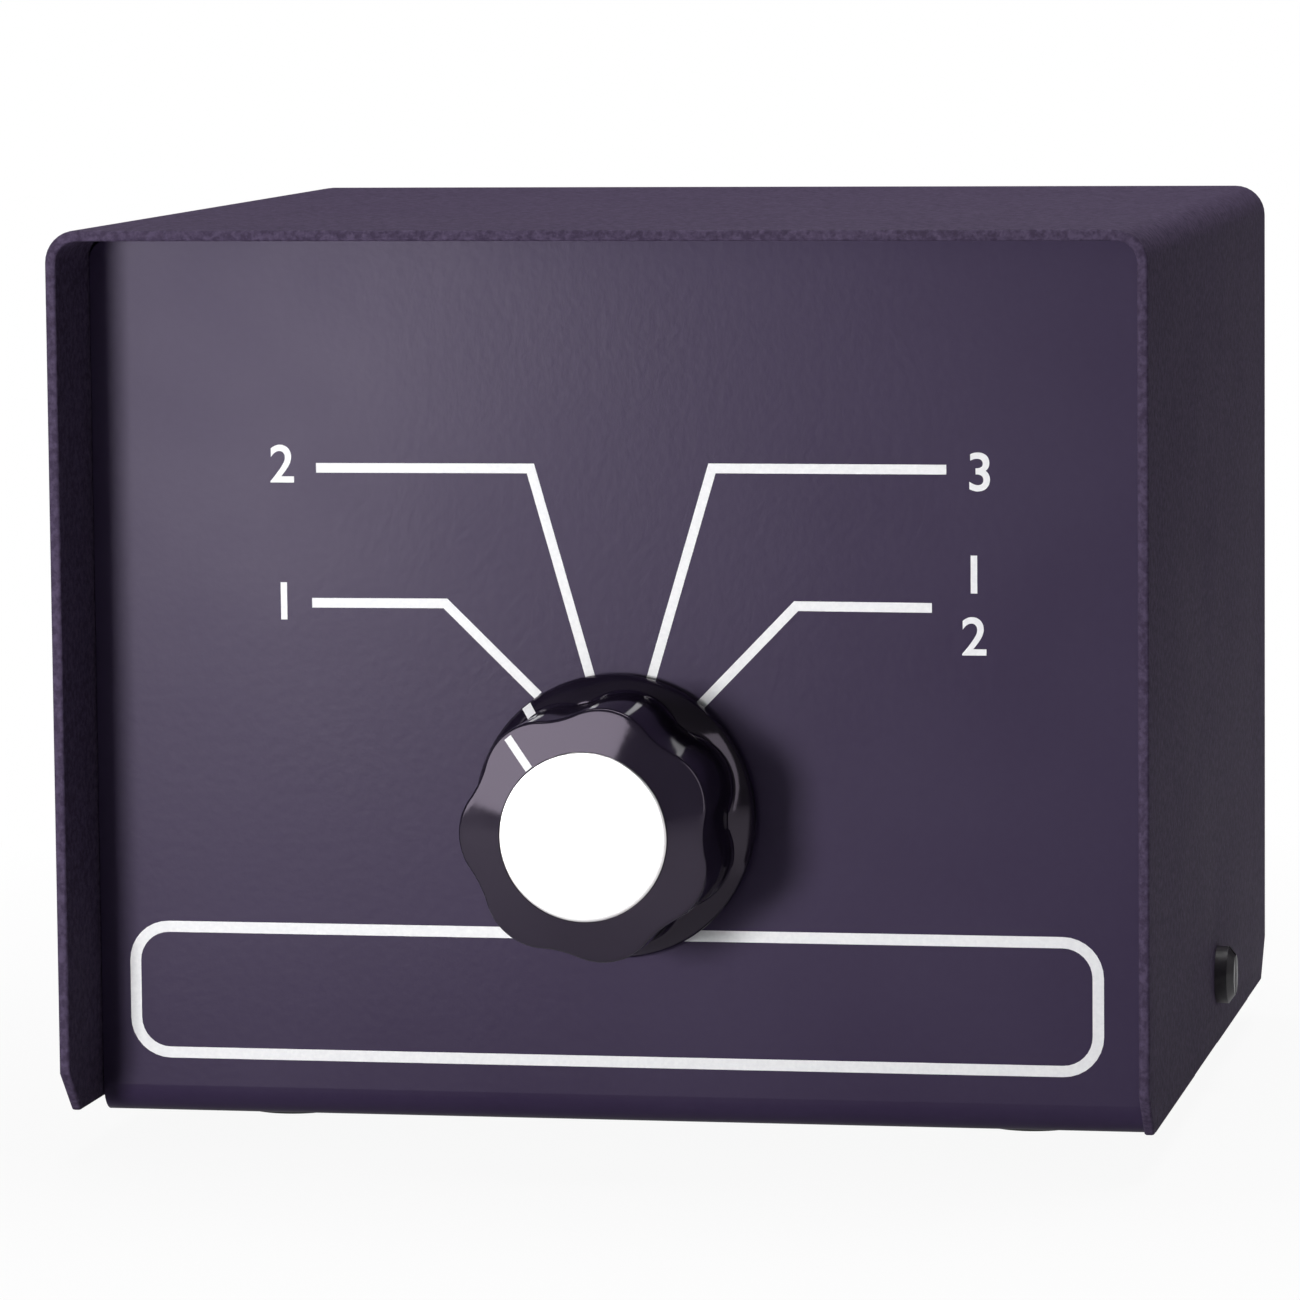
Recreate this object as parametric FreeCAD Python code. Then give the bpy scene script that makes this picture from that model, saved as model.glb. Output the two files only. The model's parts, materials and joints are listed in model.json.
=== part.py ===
import FreeCAD, Part
import math
import os

# Coaxial aerial selector in a two-piece folded steel box. All sizes are in millimetres.
# While it is modelled, Y = 0 is the front rim of the cover, Z = 0 the underside of the chassis floor,
# and X = 0 the middle plane, which holds the shaft. save() moves each piece to the final origin.

# Box
cover_width = 101.6
cover_depth = 101.6
cover_height = 83.7
cover_sheet = 1.0
cover_bend = 3.0
cover_edge_z = 1.5
cover_corner_cut = 4.0
chassis_sheet = 1.2
chassis_bend = 2.8
front_recess = 11.4
rear_recess = 4.6
side_gap = 0.1
top_gap = 0.3
foot_height = 2.5
foot_radius = 5.5
foot_taper = 0.7
foot_from_side = 14.8
foot_from_panel = 20.6

# Side screws
tab_width = 20.0
tab_height = 15.0
tab_bend = 2.2
side_screw_y = 56.0
side_screw_z = 8.4
side_screw_radius = 1.45
side_screw_length = 7.0
side_head_radius = 2.8
side_head_height = 1.8
thread_gap = 0.05
hole_gap = 0.2

# Knob
shaft_z = 29.1
knob_height = 15.6
knob_gap = 0.8
skirt_radius = 13.2
skirt_rim = 0.9
skirt_height = 2.4
skirt_shoulder_radius = 11.2
lobes = 7
crest_radius = 11.8
valley_radius = 10.9
crest_round = 5.4
face_slope = 0.32
cap_radius = 7.75
cap_thickness = 0.6
cap_proud = 0.15
knob_recess_radius = 8.4
knob_recess_depth = 4.2
insert_radius = 4.8
insert_length = 9.2
pointer_width = 1.2
pointer_depth = 0.3
set_screw_radius = 2.05
set_screw_length = 5.6
set_screw_depth = 8.2
hex_key = 2.0
seat_gap = 0.05

# Rotary switch
positions = 4
index_notches = 14
shaft_radius = 3.175
shaft_in_insert = 8.6
running_gap = 0.04
bushing_radius = 4.75
bushing_beyond_nut = 0.8
bushing_neck_radius = 4.25
bushing_lip_radius = 5.0
bushing_lip = 0.4
panel_washer_radius = 7.0
panel_washer_thickness = 0.5
panel_nut_flats = 12.7
panel_nut_thickness = 2.4
lock_washer_radius = 7.8
lock_washer_thickness = 0.6
lock_washer_teeth = 10
plate_half_width = 20.0
plate_below = 13.0
plate_above = 15.4
plate_thickness = 1.5
plate_corner = 4.0
lug_width = 3.0
lug_thickness = 1.4
lug_drop = 11.0
clip_gap = 0.15
clip_thickness = 0.5
clip_radius = 5.0
groove_depth = 0.6
wheel_gap = 0.6
wheel_thickness = 1.5
wheel_crest = 11.5
wheel_valley = 10.2
wheel_crest_round = 1.2
stop_arm_reach = 15.0
stop_arm_width = 4.0
stop_post_width = 2.0
stop_post_radius = 13.4
stop_gap = 0.15
spring_thickness = 0.4
spring_width = 4.0
spring_half_span = 12.0
spring_shoulder = 9.0
spring_height = 13.0
spring_nose_half = 1.3
spring_nose_rise = 1.3
spring_nose_gap = 0.05
ear_length = 5.0
ear_width = 3.4
ear_thickness = 1.2
blade_width = 5.0
blade_thickness = 2.4
blade_end = 47.0
strut_offset = 16.5
strut_radius = 1.45
strut_head_radius = 2.75
strut_head_height = 1.8
spacer_radius = 2.75
wafer_y = 36.0
wafer_thickness = 2.4
wafer_radius = 16.0
wafer_ear_reach = 20.0
wafer_ear_half_height = 4.6
rotor_radius = 8.0
rotor_gap = 0.3
rotor_proud = 0.15
contact_thickness = 0.5
contact_inner = 4.3
contact_outer = 7.4
tongue_reach = 10.0
tongue_width = 2.6
finger_gap = 0.15
finger_width = 2.2
throw_finger_tip = 8.9
common_finger_tip = 6.0
finger_rise_radius = 11.3
terminal_end = 18.9
terminal_radius = 17.8
rivet_seat = 13.4
rivet_radius = 0.7
rivet_head_radius = 1.0
rivet_head = 0.3

# Coaxial sockets
port_spacing = 31.0
port_row_z = 56.0
input_z = 24.0
flange_size = 25.4
flange_corner = 2.0
flange_thickness = 1.8
thread_radius = 7.94
barrel_length = 10.8
mouth_radius = 5.9
mouth_depth = 2.8
stub_radius = 7.4
stub_length = 3.5
insulator_tail = 2.0
contact_radius = 2.7
contact_bore_radius = 2.0
contact_bore_depth = 12.0
contact_tail = 7.5
cup_radius = 1.9
cup_bore_radius = 0.9
cup_depth = 3.0
screw_pitch = 18.2
screw_radius = 1.45
screw_head_radius = 2.6
screw_head_height = 1.5
screw_length = 7.6
slot_width = 0.8
slot_depth = 0.7
nut_flats = 5.5
nut_thickness = 2.2

# Wiring
wire_radius = 0.65
wire_bend = 4.0
jumper_bend = 1.5
wire_straight = 12.0
jumper_stand_off = 4.0

# Places worked out from the sizes above
index_angle = 360.0 / index_notches
rest_angle = -index_angle * (positions - 1) / 2
panel_y = front_recess
panel_back_y = panel_y + chassis_sheet
rear_y = cover_depth - rear_recess
rear_inner_y = rear_y - chassis_sheet
knob_back_y = panel_y - knob_gap
knob_face_y = knob_back_y - knob_height
skirt_front_y = knob_back_y - skirt_height
recess_floor_y = knob_back_y - knob_recess_depth
cap_front_y = knob_face_y - cap_proud
plate_y = panel_back_y + lock_washer_thickness
plate_back_y = plate_y + plate_thickness
washer_y = panel_y - panel_washer_thickness
nut_y = washer_y - panel_nut_thickness
bushing_y = nut_y - bushing_beyond_nut
bushing_back_y = plate_back_y + bushing_lip
clip_y = bushing_back_y + clip_gap
wheel_y = clip_y + clip_thickness + wheel_gap
wheel_back_y = wheel_y + wheel_thickness
wafer_back_y = wafer_y + wafer_thickness
mouth_y = rear_y + flange_thickness + barrel_length
tail_y = rear_y - stub_length - insulator_tail - contact_tail
chassis_half_width = cover_width / 2 - cover_sheet - side_gap
chassis_top_z = cover_height - cover_sheet - top_gap
middle_y = (cap_front_y + mouth_y) / 2
ports = {
    "port_1": (-port_spacing, port_row_z),
    "port_2": (0.0, port_row_z),
    "port_3": (port_spacing, port_row_z),
    "input": (0.0, input_z),
}


def vec(x, y, z):
    return FreeCAD.Vector(x, y, z)


def block(x, y, z):
    """Box between pairs of low and high values."""
    corner = vec(x[0], y[0], z[0])
    return Part.makeBox(x[1] - x[0], y[1] - y[0], z[1] - z[0], corner)


def rod(radius, y_low, y_high, x=0.0, z=shaft_z):
    """Cylinder along Y."""
    return Part.makeCylinder(radius, y_high - y_low, vec(x, y_low, z), vec(0, 1, 0))


def tube(outer, inner, y_low, y_high, x=0.0, z=shaft_z):
    return rod(outer, y_low, y_high, x, z).cut(rod(inner, y_low, y_high, x, z))


def turned(profile, x=0.0, z=shaft_z):
    """Solid of revolution about a line along Y; the profile holds (radius, y) pairs."""
    points = [vec(x + radius, y, z) for radius, y in profile]
    face = Part.Face(Part.makePolygon(points + points[:1]))
    return face.revolve(vec(x, 0, z), vec(0, 1, 0), 360)


def polar(radius, angle, y):
    """Point at a clockwise angle from straight up, seen from the front."""
    turn = math.radians(angle)
    return vec(radius * math.sin(turn), y, shaft_z + radius * math.cos(turn))


def swing(shape, angle):
    """Copy turned clockwise about the shaft, seen from the front."""
    turned_copy = shape.copy()
    turned_copy.rotate(vec(0, 0, shaft_z), vec(0, 1, 0), angle)
    return turned_copy


def radial(profile, width, angle):
    """Prism across a radius; the profile holds (radius, y) pairs."""
    points = [vec(-width / 2, y, shaft_z + radius) for radius, y in profile]
    face = Part.Face(Part.makePolygon(points + points[:1]))
    return swing(face.extrude(vec(width, 0, 0)), angle)


def arc(first, middle, last):
    return Part.Arc(first, middle, last).toShape()


def rounded(shape, radius, picked):
    """Shape with a fillet on the edges whose centres are picked."""
    edges = [edge for edge in shape.Edges if picked(edge.CenterOfMass)]
    return shape.makeFillet(radius, edges)


def near(first, second):
    return abs(first - second) < 1e-6


def extruded(points, direction):
    return Part.Face(Part.makePolygon(points + points[:1])).extrude(direction)


def lobed(count, crest, valley, crest_arc, y_low, y_high):
    """Prism with rounded crests and hollows joined by tangent arcs; the first crest points up."""
    half = 180.0 / count
    crest_centre = crest - crest_arc
    reach = valley - crest_arc
    cosine = math.cos(math.radians(half))
    valley_centre = (crest_centre**2 - reach**2) / (2 * (crest_centre * cosine - reach))
    share = crest_arc / (crest_arc + valley_centre - valley)
    edges = []
    for number in range(count):
        middle = 2 * half * number
        top = polar(crest_centre, middle, y_low)
        before = polar(valley_centre, middle - half, y_low)
        after = polar(valley_centre, middle + half, y_low)
        following = polar(crest_centre, middle + 2 * half, y_low)
        start = top + (before - top) * share
        end = top + (after - top) * share
        next_start = following + (after - following) * share
        edges.append(arc(start, polar(crest, middle, y_low), end))
        edges.append(arc(end, polar(valley, middle + half, y_low), next_start))
    return Part.Face(Part.Wire(edges)).extrude(vec(0, y_high - y_low, 0))


def hexagon(flats, bore, y_low, y_high, x=0.0, z=shaft_z):
    """Nut with chamfered corners on its front and rear."""
    corner = flats / math.sqrt(3)
    points = []
    for number in range(6):
        turn = math.radians(60 * number)
        points.append(vec(x + corner * math.cos(turn), y_low, z + corner * math.sin(turn)))
    prism = extruded(points, vec(0, y_high - y_low, 0))
    bevel = corner - flats / 2
    rim = flats / 2 + 0.2 * bevel
    drop = 0.5 * bevel
    profile = [(0, y_low), (rim, y_low), (corner, y_low + drop)]
    profile += [(corner, y_high - drop), (rim, y_high), (0, y_high)]
    return prism.common(turned(profile, x, z)).cut(rod(bore, y_low, y_high, x, z))


def unit(vector):
    return vector * (1 / vector.Length)


def wire_run(points, bend):
    """Round wire along straight runs joined by tangent arcs."""
    edges = []
    start = points[0]
    for before, corner, after in zip(points, points[1:], points[2:]):
        back = unit(before - corner)
        ahead = unit(after - corner)
        half = back.getAngle(ahead) / 2
        tangent = bend / math.tan(half)
        centre = corner + unit(back + ahead) * (bend / math.sin(half))
        middle = centre - unit(back + ahead) * bend
        begin = corner + back * tangent
        finish = corner + ahead * tangent
        edges.append(Part.LineSegment(start, begin).toShape())
        edges.append(arc(begin, middle, finish))
        start = finish
    edges.append(Part.LineSegment(start, points[-1]).toShape())
    section = Part.Wire(Part.makeCircle(wire_radius, points[0], points[1] - points[0]))
    return Part.Wire(edges).makePipeShell([section], True, False)


def save(name, *solids):
    """Write one node with its origin under the middle of the finished switch."""
    shape = solids[0] if len(solids) == 1 else Part.makeCompound(list(solids))
    if len(solids) == 1 and shape.ShapeType == "Compound" and len(shape.Solids) == 1:
        shape = shape.Solids[0]
    shape = shape.copy()
    shape.translate(vec(0, -middle_y, foot_height))
    shape.exportStep(f"parts/{name}.step")
    print(f"{name}: {len(shape.Solids)} solid(s), {shape.Volume:.1f} mm3, valid {shape.isValid()}")


def make_cover():
    half = cover_width / 2
    outer = block((-half, half), (0, cover_depth), (cover_edge_z, cover_height))
    outer = rounded(outer, cover_bend, lambda c: near(c.z, cover_height) and near(abs(c.x), half))
    inside = half - cover_sheet
    ceiling = cover_height - cover_sheet
    inner = block((-inside, inside), (0, cover_depth), (cover_edge_z, ceiling))
    inner_bend = cover_bend - cover_sheet
    inner = rounded(inner, inner_bend, lambda c: near(c.z, ceiling) and near(abs(c.x), inside))
    cover = outer.cut(inner)
    for y, step in ((0, cover_corner_cut), (cover_depth, -cover_corner_cut)):
        corner = [
            vec(-half, y, cover_edge_z),
            vec(-half, y + step, cover_edge_z),
            vec(-half, y, cover_edge_z + cover_corner_cut),
        ]
        cover = cover.cut(extruded(corner, vec(cover_width, 0, 0)))
    hole = Part.makeCylinder(
        side_screw_radius + hole_gap,
        cover_width,
        vec(-half, side_screw_y, side_screw_z),
        vec(1, 0, 0),
    )
    return cover.cut(hole)


def make_tab(side):
    """Bent-up tab for a side screw, and the notch that it takes from the floor."""
    reach = tab_bend + chassis_sheet
    half = chassis_half_width
    y = (side_screw_y - tab_width / 2, side_screw_y + tab_width / 2)
    outer = block((half - reach, half), y, (0, tab_height))
    outer = rounded(outer, tab_bend, lambda c: near(c.x, half) and near(c.z, 0))
    wall = half - chassis_sheet
    inner = block((half - reach, wall), y, (chassis_sheet, tab_height))
    inner_bend = tab_bend - chassis_sheet
    inner = rounded(inner, inner_bend, lambda c: near(c.x, wall) and near(c.z, chassis_sheet))
    tab = outer.cut(inner)
    hole = Part.makeCylinder(
        side_screw_radius + thread_gap,
        chassis_sheet,
        vec(wall, side_screw_y, side_screw_z),
        vec(1, 0, 0),
    )
    tab = tab.cut(hole)
    notch = block((half - reach, half), y, (0, chassis_sheet))
    if side < 0:
        tab = tab.mirror(vec(0, 0, 0), vec(1, 0, 0))
        notch = notch.mirror(vec(0, 0, 0), vec(1, 0, 0))
    return tab, notch


def make_chassis():
    half = chassis_half_width
    x = (-half, half)
    outer = block(x, (panel_y, rear_y), (0, chassis_top_z))
    outer = rounded(
        outer,
        chassis_bend,
        lambda c: near(c.z, 0) and (near(c.y, panel_y) or near(c.y, rear_y)),
    )
    inner = block(x, (panel_back_y, rear_inner_y), (chassis_sheet, chassis_top_z))
    inner = rounded(
        inner,
        chassis_bend - chassis_sheet,
        lambda c: near(c.z, chassis_sheet) and (near(c.y, panel_back_y) or near(c.y, rear_inner_y)),
    )
    chassis = rounded(
        outer.cut(inner),
        cover_bend - cover_sheet,
        lambda c: near(c.z, chassis_top_z) and near(abs(c.x), half),
    )
    for side in (-1, 1):
        tab, notch = make_tab(side)
        chassis = chassis.cut(notch).fuse(tab)
    chassis = chassis.cut(rod(bushing_radius + hole_gap, panel_y, panel_back_y))
    lug_low = shaft_z - lug_drop - lug_thickness / 2 - hole_gap
    lug_high = lug_low + lug_thickness + 2 * hole_gap
    lug_half = lug_width / 2 + hole_gap
    chassis = chassis.cut(block((-lug_half, lug_half), (panel_y, panel_back_y), (lug_low, lug_high)))
    for x, z in ports.values():
        chassis = chassis.cut(rod(stub_radius + hole_gap, rear_inner_y, rear_y, x, z))
        for dx, dz in screw_corners():
            chassis = chassis.cut(rod(screw_radius + hole_gap, rear_inner_y, rear_y, x + dx, z + dz))
    return chassis.removeSplitter()


def screw_corners():
    reach = screw_pitch / 2
    return [(dx, dz) for dx in (-reach, reach) for dz in (-reach, reach)]


def make_side_screws():
    """Slotted pan-head screws through the cover into the tabs."""
    head_x = cover_width / 2
    crown = 0.35 * side_head_height
    profile = [
        vec(head_x + side_head_height, side_screw_y, side_screw_z),
        vec(head_x + side_head_height, side_screw_y + 0.7 * side_head_radius, side_screw_z),
        vec(head_x + side_head_height - crown, side_screw_y + side_head_radius, side_screw_z),
        vec(head_x, side_screw_y + side_head_radius, side_screw_z),
        vec(head_x, side_screw_y + side_screw_radius, side_screw_z),
        vec(head_x - side_screw_length, side_screw_y + side_screw_radius, side_screw_z),
        vec(head_x - side_screw_length, side_screw_y, side_screw_z),
    ]
    face = Part.Face(Part.makePolygon(profile + profile[:1]))
    screw = face.revolve(vec(0, side_screw_y, side_screw_z), vec(1, 0, 0), 360)
    slot = block(
        (head_x + side_head_height - slot_depth, head_x + side_head_height),
        (side_screw_y - slot_width / 2, side_screw_y + slot_width / 2),
        (side_screw_z - side_head_radius, side_screw_z + side_head_radius),
    )
    screw = screw.cut(slot)
    return screw, screw.mirror(vec(0, 0, 0), vec(1, 0, 0))


def make_feet():
    feet = []
    x = cover_width / 2 - foot_from_side
    for y in (panel_y + foot_from_panel, rear_y - foot_from_panel):
        for side in (-1, 1):
            base = vec(side * x, y, -foot_height)
            feet.append(Part.makeCone(foot_radius - foot_taper, foot_radius, foot_height, base))
    return feet


def make_knob_body():
    front = knob_face_y
    slope_end = front + face_slope * (crest_radius - cap_radius)
    prism = lobed(lobes, crest_radius, valley_radius, crest_round, front, knob_back_y - skirt_rim)
    envelope = turned([
        (0, front),
        (cap_radius + seat_gap, front),
        (crest_radius, slope_end),
        (skirt_radius, slope_end),
        (skirt_radius, knob_back_y),
        (0, knob_back_y),
    ])
    skirt = turned([
        (0, skirt_front_y),
        (skirt_shoulder_radius, skirt_front_y),
        (skirt_radius, knob_back_y - skirt_rim),
        (skirt_radius, knob_back_y),
        (0, knob_back_y),
    ])
    body = prism.common(envelope).fuse(skirt).removeSplitter()
    body = body.cut(rod(knob_recess_radius, recess_floor_y, knob_back_y))
    insert_front = recess_floor_y - insert_length
    body = body.cut(rod(insert_radius + seat_gap, insert_front - seat_gap, recess_floor_y))
    seat = rod(cap_radius + seat_gap, cap_front_y, cap_front_y + cap_thickness)
    body = body.cut(seat)
    face_groove = radial([
        (cap_radius, front - pointer_width),
        (cap_radius, front + pointer_depth),
        (skirt_radius, front + pointer_depth + face_slope * (skirt_radius - cap_radius)),
        (skirt_radius, front - pointer_width),
    ], pointer_width, 0)
    body = body.cut(face_groove.common(rod(skirt_radius, front, slope_end + pointer_depth)))
    rim_y = knob_back_y - skirt_rim
    mark = radial([
        (crest_radius, skirt_front_y + pointer_depth),
        (skirt_radius, rim_y + pointer_depth),
        (skirt_radius + pointer_depth, skirt_front_y),
        (crest_radius, skirt_front_y),
    ], pointer_width, 0)
    body = body.cut(mark)
    body = body.cut(set_screw_rod(set_screw_radius + hole_gap, shaft_radius, skirt_radius))
    return swing(body, rest_angle)


def set_screw_rod(radius, near_radius, far_radius):
    """Cylinder on the set screw's line, which runs away from the pointer."""
    y = recess_floor_y - insert_length / 2
    length = far_radius - near_radius
    return Part.makeCylinder(radius, length, vec(0, y, shaft_z - near_radius), vec(0, 0, -1))


def make_knob_insert():
    front = recess_floor_y - insert_length
    insert = rod(insert_radius, front, recess_floor_y)
    insert = insert.cut(rod(shaft_radius + seat_gap, recess_floor_y - shaft_in_insert - seat_gap, recess_floor_y))
    insert = insert.cut(set_screw_rod(set_screw_radius + thread_gap, 0, insert_radius + 1))
    return swing(insert, rest_angle)


def make_set_screw():
    start = shaft_radius + seat_gap
    screw = set_screw_rod(set_screw_radius, start, start + set_screw_length)
    y = recess_floor_y - insert_length / 2
    key = []
    for number in range(6):
        turn = math.radians(60 * number)
        across = hex_key / math.sqrt(3)
        x = across * math.cos(turn)
        key.append(vec(x, y + across * math.sin(turn), shaft_z - start - set_screw_length))
    socket = extruded(key, vec(0, 0, set_screw_length / 2))
    return swing(screw.cut(socket), rest_angle)


def make_knob_cap():
    """Thin disc with a slightly rounded edge."""
    edge = cap_proud
    return turned([
        (0, cap_front_y),
        (cap_radius - edge, cap_front_y),
        (cap_radius, cap_front_y + edge),
        (cap_radius, cap_front_y + cap_thickness),
        (0, cap_front_y + cap_thickness),
    ])


def make_shaft():
    """Round shaft with a clip groove, then a flat blade."""
    front = recess_floor_y - shaft_in_insert
    groove_front = clip_y - seat_gap
    groove_back = clip_y + clip_thickness + seat_gap
    bottom = shaft_radius - groove_depth
    shoulder = groove_back + wheel_gap / 2
    chamfer = 0.5
    shaft = turned([
        (0, front),
        (shaft_radius - chamfer, front),
        (shaft_radius, front + chamfer),
        (shaft_radius, groove_front),
        (bottom, groove_front),
        (bottom, groove_back),
        (shaft_radius, groove_back),
        (shaft_radius, shoulder),
        (0, shoulder),
    ])
    x = (-blade_width / 2, blade_width / 2)
    z = (shaft_z - blade_thickness / 2, shaft_z + blade_thickness / 2)
    return swing(shaft.fuse(block(x, (shoulder, blade_end), z)).removeSplitter(), rest_angle)


def make_bushing():
    bore = shaft_radius + running_gap
    return turned([
        (bore, bushing_y),
        (bushing_radius - 0.4, bushing_y),
        (bushing_radius, bushing_y + 0.4),
        (bushing_radius, plate_y),
        (bushing_neck_radius, plate_y),
        (bushing_neck_radius, plate_back_y),
        (bushing_lip_radius, plate_back_y),
        (bushing_lip_radius, bushing_back_y),
        (bore, bushing_back_y),
    ])


def make_lock_washer():
    """Ring with radial slots, so that its teeth bite the panel."""
    bore = bushing_radius + thread_gap
    ring = tube(lock_washer_radius, bore, panel_back_y, plate_y)
    root = (bore + lock_washer_radius) / 2
    for number in range(lock_washer_teeth):
        slot = radial([
            (root, panel_back_y),
            (root, plate_y),
            (lock_washer_radius + 1, plate_y),
            (lock_washer_radius + 1, panel_back_y),
        ], lock_washer_thickness * 2, 360.0 / lock_washer_teeth * number)
        ring = ring.cut(slot)
    return ring


def stop_offset():
    """Angle from the stop arm to a stop post when they meet, with the named gap."""
    reach = stop_arm_width / 2 + stop_post_width / 2 + stop_gap
    return math.degrees(math.asin(reach / stop_post_radius))


def make_switch_plate():
    """Stamped plate with its lug, spring ears and stop posts bent out of it."""
    low = shaft_z - plate_below
    high = shaft_z + plate_above
    plate = block((-plate_half_width, plate_half_width), (plate_y, plate_back_y), (low, high))
    plate = rounded(
        plate,
        plate_corner,
        lambda c: near(abs(c.x), plate_half_width) and (near(c.z, low) or near(c.z, high)),
    )
    lug_z = shaft_z - lug_drop
    lug = block(
        (-lug_width / 2, lug_width / 2),
        (panel_y + hole_gap, plate_y),
        (lug_z - lug_thickness / 2, lug_z + lug_thickness / 2),
    )
    pieces = [lug]
    ear_low = shaft_z + spring_height + spring_thickness
    for side in (-1, 1):
        middle = side * (spring_half_span - ear_width / 2)
        ear_x = (middle - ear_width / 2, middle + ear_width / 2)
        pieces.append(block(ear_x, (plate_back_y, plate_back_y + ear_length), (ear_low, ear_low + ear_thickness)))
    first = 180 + rest_angle - stop_offset()
    last = 180 - rest_angle + stop_offset()
    for angle in (first, last):
        inner = stop_post_radius - ear_thickness / 2
        outer = stop_post_radius + ear_thickness / 2
        post = radial([
            (inner, plate_back_y),
            (outer, plate_back_y),
            (outer, wheel_back_y),
            (inner, wheel_back_y),
        ], stop_post_width, angle)
        pieces.append(post)
    plate = plate.fuse(pieces).removeSplitter()
    plate = plate.cut(rod(bushing_neck_radius + thread_gap, plate_y, plate_back_y))
    for side in (-1, 1):
        plate = plate.cut(rod(strut_radius + thread_gap, plate_y, plate_back_y, side * strut_offset))
    return plate


def make_shaft_clip():
    """Open ring that snaps into the groove of the shaft."""
    bore = shaft_radius - groove_depth + seat_gap
    ring = tube(clip_radius, bore, clip_y, clip_y + clip_thickness)
    mouth = radial([
        (0, clip_y),
        (0, clip_y + clip_thickness),
        (clip_radius, clip_y + clip_thickness),
        (clip_radius, clip_y),
    ], 1.7 * bore, 90)
    return swing(ring.cut(mouth), rest_angle)


def blade_slot(y_low, y_high):
    x = blade_width / 2 + seat_gap
    z = blade_thickness / 2 + seat_gap
    return block((-x, x), (y_low, y_high), (shaft_z - z, shaft_z + z))


def make_index_wheel():
    """Notched wheel whose stop arm points away from the pointer."""
    wheel = lobed(index_notches, wheel_crest, wheel_valley, wheel_crest_round, wheel_y, wheel_back_y)
    wheel = swing(wheel, index_angle * positions / 2)
    arm = radial([
        (0, wheel_y),
        (stop_arm_reach, wheel_y),
        (stop_arm_reach, wheel_back_y),
        (0, wheel_back_y),
    ], stop_arm_width, 180)
    wheel = wheel.fuse(arm).removeSplitter().cut(blade_slot(wheel_y, wheel_back_y))
    return swing(wheel, rest_angle)


def make_detent_spring():
    """Leaf spring under the ears, with its nose in a notch of the wheel."""
    y = (wheel_y + wheel_back_y) / 2 - spring_width / 2
    nose = wheel_valley + spring_nose_gap
    low = [(-spring_half_span, spring_height), (-spring_shoulder, spring_height)]
    low.append((-spring_nose_half, nose + spring_nose_rise))

    def at(x, z):
        return vec(x, y, shaft_z + z)

    def line(first, second):
        return Part.LineSegment(at(*first), at(*second)).toShape()

    def right(point, lift=0.0, inset=0.0):
        return (-point[0] - inset, point[1] + lift)

    def left(point, lift=0.0, inset=0.0):
        return (point[0] + inset, point[1] + lift)

    thick = spring_thickness
    narrow = spring_thickness / 2
    edges = [
        line(low[0], low[1]),
        line(low[1], low[2]),
        arc(at(*low[2]), at(0, nose), at(*right(low[2]))),
        line(right(low[2]), right(low[1])),
        line(right(low[1]), right(low[0])),
        line(right(low[0]), right(low[0], thick)),
        line(right(low[0], thick), right(low[1], thick)),
        line(right(low[1], thick), right(low[2], thick, narrow)),
        arc(at(*right(low[2], thick, narrow)), at(0, nose + thick), at(*left(low[2], thick, narrow))),
        line(left(low[2], thick, narrow), left(low[1], thick)),
        line(left(low[1], thick), left(low[0], thick)),
        line(left(low[0], thick), low[0]),
    ]
    return Part.Face(Part.Wire(edges)).extrude(vec(0, spring_width, 0))


def make_strut_screws():
    """Long screws from behind the wafer into the switch plate."""
    screws = []
    head_end = wafer_back_y + strut_head_height
    for side in (-1, 1):
        screw = turned([
            (0, plate_y),
            (strut_radius, plate_y),
            (strut_radius, wafer_back_y),
            (strut_head_radius, wafer_back_y),
            (strut_head_radius, head_end - 0.5),
            (0.7 * strut_head_radius, head_end),
            (0, head_end),
        ], side * strut_offset)
        slot = block(
            (side * strut_offset - slot_width / 2, side * strut_offset + slot_width / 2),
            (head_end - slot_depth, head_end),
            (shaft_z - strut_head_radius, shaft_z + strut_head_radius),
        )
        screws.append(screw.cut(slot))
    return screws


def make_strut_spacers():
    bore = strut_radius + hole_gap
    return [tube(spacer_radius, bore, plate_back_y, wafer_y, side * strut_offset) for side in (-1, 1)]


def make_wafer_stator():
    """Insulating plate with two ears and a round window for the rotor."""
    y = (wafer_y, wafer_back_y)
    z = (shaft_z - wafer_ear_half_height, shaft_z + wafer_ear_half_height)
    ears = block((-wafer_ear_reach, wafer_ear_reach), y, z)
    ears = rounded(ears, wafer_ear_half_height / 2, lambda c: near(abs(c.x), wafer_ear_reach) and not near(c.z, shaft_z))
    wafer = rod(wafer_radius, *y).fuse(ears).removeSplitter()
    wafer = wafer.cut(rod(rotor_radius + rotor_gap, *y))
    for side in (-1, 1):
        wafer = wafer.cut(rod(strut_radius + hole_gap, *y, side * strut_offset))
    for angle, _, _ in clip_places():
        spot = polar(rivet_seat, angle, wafer_y)
        wafer = wafer.cut(rod(rivet_radius + thread_gap, *y, spot.x, spot.z))
    return wafer


def throw_angles(centre):
    """Angles of the four throws about a centre line."""
    first = centre + rest_angle
    return [first + index_angle * number for number in range(positions)]


def clip_places():
    """Angle, face and finger tip of every clip: front throws, rear throws, then the two commons."""
    places = [(angle, "front", throw_finger_tip) for angle in throw_angles(180)]
    places += [(angle, "rear", throw_finger_tip) for angle in throw_angles(0)]
    side = 90 - index_angle
    places.append((180 - side, "front", common_finger_tip))
    places.append((side, "rear", common_finger_tip))
    return places


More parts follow.
